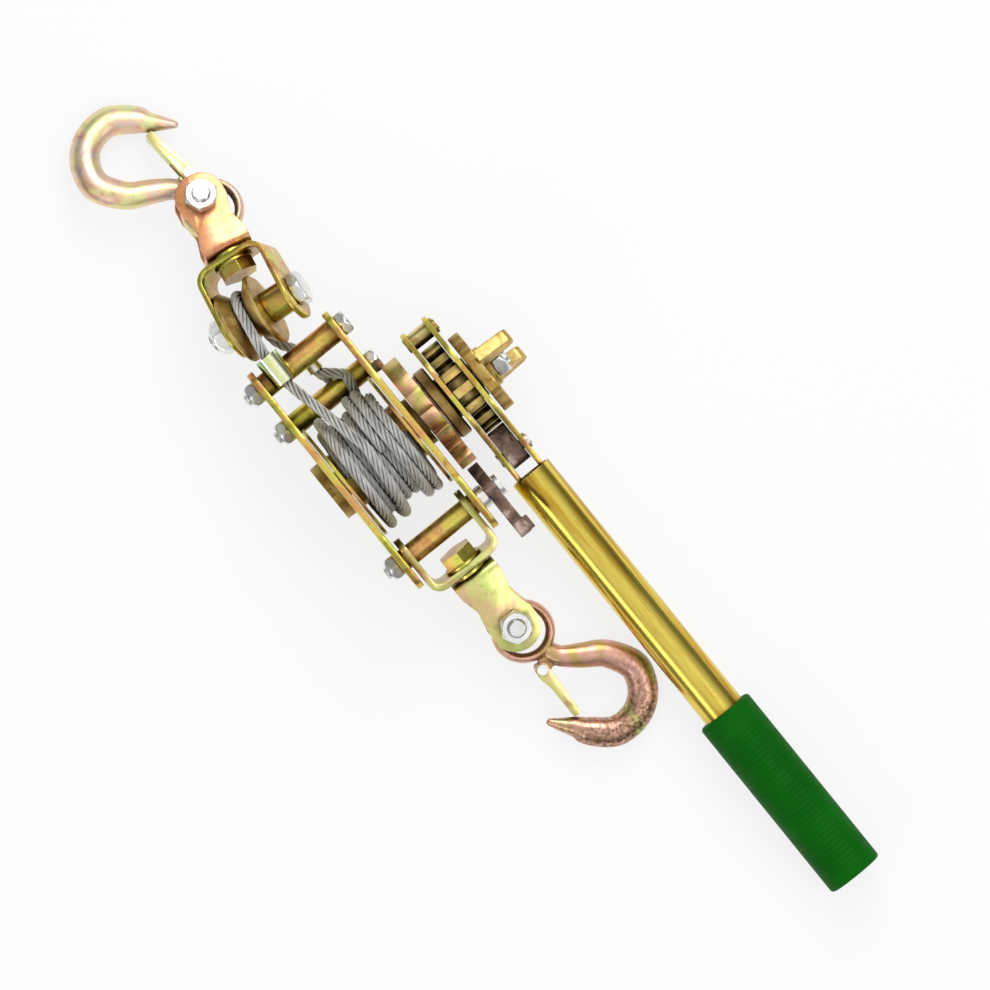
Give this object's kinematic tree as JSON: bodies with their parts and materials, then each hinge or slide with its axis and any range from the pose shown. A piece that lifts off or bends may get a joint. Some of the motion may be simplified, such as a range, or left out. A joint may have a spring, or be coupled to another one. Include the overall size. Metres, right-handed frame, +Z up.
{
  "type": "hand cable winch puller",
  "caption": "Hand lever cable winch: rope drum in a plate frame with ratchets, winged brake knob, long gripped handle, sheave block and latched hooks at both ends.",
  "frame": {"origin": "on the surface it lies on, under the middle of its outline", "axes": "+X from the upper hook to the lower hook and the handle's grip, +Y along the drum shaft towards the brake knob, +Z up as it lies flat"},
  "size_m": [0.5961, 0.1371, 0.076],
  "materials": {
    "zinc": "yellow zinc plated steel",
    "pale_zinc": "pale yellow zinc plated steel",
    "cast_gold": "cast steel with brown-gold plating",
    "bright_steel": "bright zinc plated steel",
    "dark_steel": "grey-brown forged steel",
    "wire_rope": "galvanised wire rope",
    "copper_zinc": "forged steel with pink-copper plating",
    "grip_rubber": "moulded green rubber"
  },
  "bodies": {
    "frame": {"frame_plate_left": "zinc", "frame_plate_right": "zinc", "frame_spacers": "zinc", "frame_bolts": "bright_steel", "frame_nuts": "bright_steel", "rope_guide": "pale_zinc", "drum_bearing_left": "cast_gold", "drum_bearing_right": "cast_gold", "holding_pawl_bolt": "bright_steel", "rope_ferrule": "bright_steel", "rope_lead": "wire_rope", "rope_return": "wire_rope"},
    "drum": {"drum_barrel": "zinc", "drum_flange_left": "zinc", "drum_flange_right": "zinc", "rope_core": "wire_rope", "rope_winding": "wire_rope", "drum_shaft": "bright_steel", "holding_ratchet": "zinc", "friction_washer": "dark_steel", "brake_disc": "cast_gold", "drive_ratchet": "cast_gold", "shaft_nut": "bright_steel"},
    "knob": {"brake_knob": "cast_gold"},
    "hold_pawl": {"holding_pawl": "dark_steel"},
    "handle": {"handle_plate_inner": "zinc", "handle_plate_outer": "zinc", "handle_spacer": "pale_zinc", "handle_rivets": "zinc", "handle_tube": "zinc", "handle_grip": "grip_rubber", "drive_pawl_bolt": "bright_steel"},
    "drive_pawl_body": {"drive_pawl": "dark_steel"},
    "yoke_body": {"yoke": "pale_zinc"},
    "lower_fork": {"swivel_bolt_lower": "zinc", "swivel_washer_lower": "zinc", "fork_lower": "pale_zinc", "hook_bolt_lower": "bright_steel", "hook_nut_lower": "bright_steel"},
    "lower_hook": {"hook_lower": "copper_zinc", "latch_pin_lower": "bright_steel"},
    "lower_latch": {"latch_lower": "pale_zinc"},
    "block": {"block_cheeks": "zinc", "sheave_bolt": "bright_steel", "sheave_nut": "bright_steel", "sheave_spacer": "zinc", "rope_turn": "wire_rope"},
    "sheave_body": {"sheave": "cast_gold"},
    "upper_fork": {"swivel_bolt_upper": "zinc", "swivel_washer_upper": "zinc", "fork_upper": "pale_zinc", "hook_bolt_upper": "bright_steel", "hook_nut_upper": "bright_steel"},
    "upper_hook": {"hook_upper": "pale_zinc", "latch_pin_upper": "bright_steel"},
    "upper_latch": {"latch_upper": "pale_zinc"}
  },
  "joints": [
    {"name": "drum_spin", "type": "hinge", "parent": "frame", "child": "drum", "pos_m": [-0.0513, -0.0307, 0.038], "axis": [0, -1, 0], "range_deg": [0, 2880]},
    {"name": "handle_swing", "type": "hinge", "parent": "frame", "child": "handle", "pos_m": [-0.0513, -0.0307, 0.038], "axis": [0, 1, 0], "continuous": true},
    {"name": "drive_pawl_rock", "type": "hinge", "parent": "handle", "child": "drive_pawl_body", "pos_m": [-0.00579, -0.0307, 0.03522], "axis": [0, 1, 0], "range_deg": [-20, 20]},
    {"name": "holding_pawl_rock", "type": "hinge", "parent": "frame", "child": "hold_pawl", "pos_m": [0.0037, -0.0307, 0.0545], "axis": [0, 1, 0], "range_deg": [0, 10]},
    {"name": "brake_knob_turn", "type": "hinge", "parent": "drum", "child": "knob", "pos_m": [-0.0513, -0.0307, 0.038], "axis": [0, 1, 0], "range_deg": [-90, 90]},
    {"name": "yoke_tilt", "type": "hinge", "parent": "frame", "child": "yoke_body", "pos_m": [0.0032, -0.0307, 0.038], "axis": [0, 1, 0], "range_deg": [-80, 60]},
    {"name": "lower_swivel", "type": "hinge", "parent": "yoke_body", "child": "lower_fork", "pos_m": [0.02919, -0.0307, 0.03281], "axis": [0.9806, 0, -0.1959], "continuous": true},
    {"name": "lower_hook_pivot", "type": "hinge", "parent": "lower_fork", "child": "lower_hook", "pos_m": [0.06871, -0.0307, 0.02491], "axis": [0.1959, 0, 0.9806], "range_deg": [-70, 4]},
    {"name": "lower_latch_swing", "type": "hinge", "parent": "lower_hook", "child": "lower_latch", "pos_m": [0.09828, -0.0342, 0.01901], "axis": [0.1959, 0, 0.9806], "range_deg": [0, 30], "stiffness_Nm_per_rad": 0.02, "springref_deg": -22.92},
    {"name": "block_travel", "type": "slide", "parent": "frame", "child": "block", "axis": [-0.9848, 0.1736, 0], "range_m": [0, 0.631]},
    {"name": "sheave_spin", "type": "hinge", "parent": "block", "child": "sheave_body", "pos_m": [-0.1543, -0.0372, 0.041], "axis": [-0.1042, -0.9669, -0.2329], "range_deg": [0, 2409]},
    {"name": "upper_swivel", "type": "hinge", "parent": "block", "child": "upper_fork", "pos_m": [-0.18771, -0.02441, 0.03291], "axis": [-0.9482, 0.1672, -0.27], "continuous": true},
    {"name": "upper_hook_pivot", "type": "hinge", "parent": "upper_fork", "child": "upper_hook", "pos_m": [-0.22184, -0.01839, 0.02319], "axis": [-0.2391, 0.1835, 0.9535], "range_deg": [-75, 25]},
    {"name": "upper_latch_swing", "type": "hinge", "parent": "upper_hook", "child": "upper_latch", "pos_m": [-0.23798, -0.0138, 0.01826], "axis": [-0.2391, 0.1835, 0.9535], "range_deg": [0, 30], "stiffness_Nm_per_rad": 0.02, "springref_deg": -22.92}
  ],
  "couplings": [
    {"joint": "block_travel", "follows": "drum_spin", "m_per_rad": 0.012533},
    {"joint": "sheave_spin", "follows": "drum_spin", "ratio": 0.8356}
  ]
}
